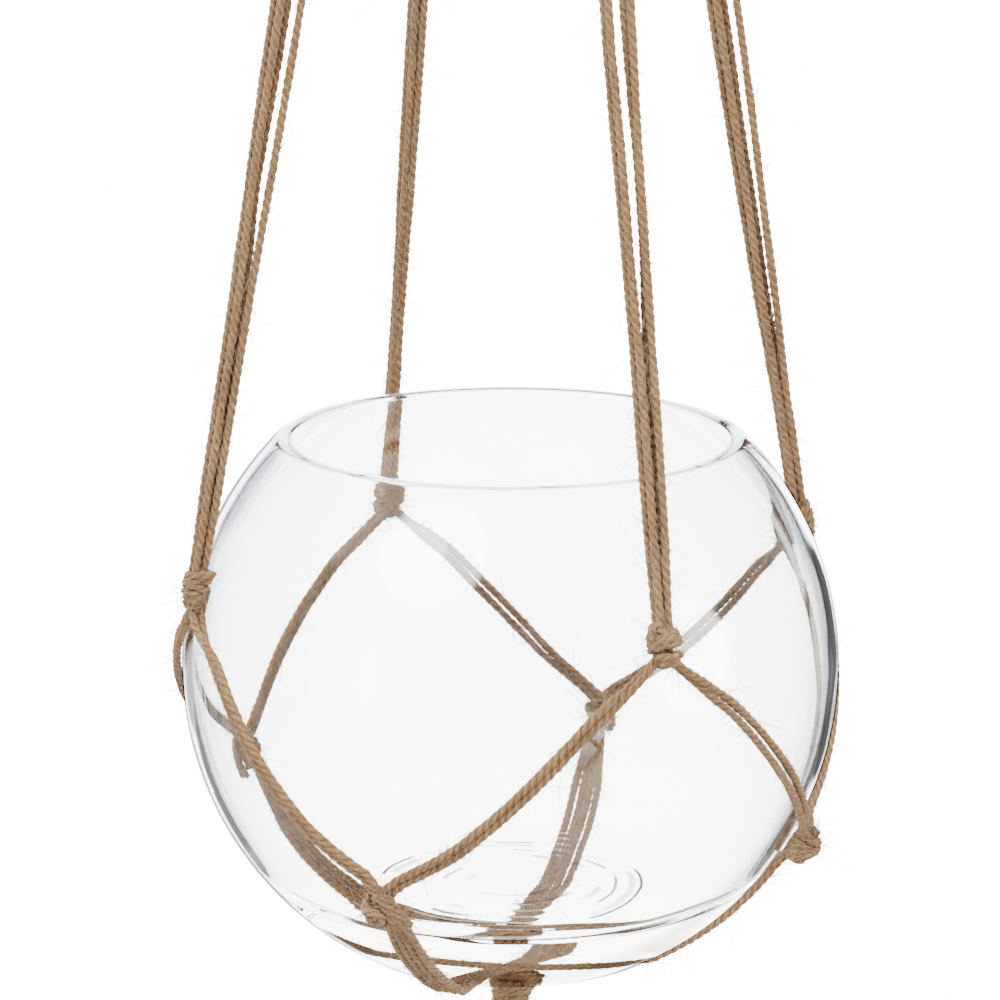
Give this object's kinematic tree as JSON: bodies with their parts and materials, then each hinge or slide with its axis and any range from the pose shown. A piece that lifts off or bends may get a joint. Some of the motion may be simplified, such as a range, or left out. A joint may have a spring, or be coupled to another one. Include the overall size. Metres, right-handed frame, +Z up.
{
  "type": "macrame hanging planter",
  "caption": "Round clear glass bowl held in a knotted net of jute cord, hung by long cord legs from a small steel ring.",
  "frame": {"origin": "the point inside the top of the steel ring where a hook bears; everything hangs below it", "axes": "+Z up along the hanging line, +X to the right and -Y towards the front"},
  "size_m": [0.245, 0.246, 1.016],
  "materials": {
    "jute_cord": "rough natural fibre",
    "jute_knot": "rough natural fibre",
    "steel_ring": "satin",
    "clear_glass": "clear gloss"
  },
  "bodies": {
    "ring": {"hanging_ring": "steel_ring"},
    "net": {"ring_fold_1": "jute_cord", "ring_fold_2": "jute_cord", "ring_fold_3": "jute_cord", "ring_fold_4": "jute_cord", "gathering_wrap": "jute_knot", "front_left_leg_strand_1": "jute_cord", "front_left_leg_strand_2": "jute_cord", "front_left_leg_strand_3": "jute_cord", "front_left_leg_strand_4": "jute_cord", "front_right_leg_strand_1": "jute_cord", "front_right_leg_strand_2": "jute_cord", "front_right_leg_strand_3": "jute_cord", "front_right_leg_strand_4": "jute_cord", "back_right_leg_strand_1": "jute_cord", "back_right_leg_strand_2": "jute_cord", "back_right_leg_strand_3": "jute_cord", "back_right_leg_strand_4": "jute_cord", "back_left_leg_strand_1": "jute_cord", "back_left_leg_strand_2": "jute_cord", "back_left_leg_strand_3": "jute_cord", "back_left_leg_strand_4": "jute_cord", "upper_knot_front_left": "jute_knot", "upper_knot_front_right": "jute_knot", "upper_knot_back_right": "jute_knot", "upper_knot_back_left": "jute_knot", "net_pair_front_left_to_left": "jute_cord", "net_pair_front_left_to_front": "jute_cord", "net_pair_front_right_to_front": "jute_cord", "net_pair_front_right_to_right": "jute_cord", "net_pair_back_right_to_right": "jute_cord", "net_pair_back_right_to_back": "jute_cord", "net_pair_back_left_to_back": "jute_cord", "net_pair_back_left_to_left": "jute_cord", "lower_knot_front": "jute_knot", "lower_knot_right": "jute_knot", "lower_knot_back": "jute_knot", "lower_knot_left": "jute_knot", "base_band_front": "jute_cord", "base_band_right": "jute_cord", "base_band_back": "jute_cord", "base_band_left": "jute_cord", "bottom_knot": "jute_knot"},
    "bowl": {"glass_bowl": "clear_glass"},
    "tassel": {"tassel_strand_1": "jute_cord", "tassel_strand_2": "jute_cord", "tassel_strand_3": "jute_cord", "tassel_strand_4": "jute_cord", "tassel_strand_5": "jute_cord", "tassel_strand_6": "jute_cord", "tassel_strand_7": "jute_cord", "tassel_strand_8": "jute_cord", "tassel_strand_9": "jute_cord", "tassel_strand_10": "jute_cord", "tassel_strand_11": "jute_cord", "tassel_strand_12": "jute_cord", "tassel_strand_13": "jute_cord", "tassel_strand_14": "jute_cord", "tassel_strand_15": "jute_cord", "tassel_strand_16": "jute_cord"}
  },
  "joints": [
    {"name": "ring_swing", "type": "hinge", "parent": "ring", "child": "net", "pos_m": [0, 0, -0.0405], "axis": [1, 0, 0], "range_deg": [-40, 40]},
    {"name": "bowl_turn", "type": "hinge", "parent": "net", "child": "bowl", "pos_m": [0, 0, -0.768], "axis": [0, 0, 1], "continuous": true},
    {"name": "tassel_swing", "type": "hinge", "parent": "net", "child": "tassel", "pos_m": [0, 0, -0.8876], "axis": [1, 0, 0], "range_deg": [-30, 30]}
  ]
}
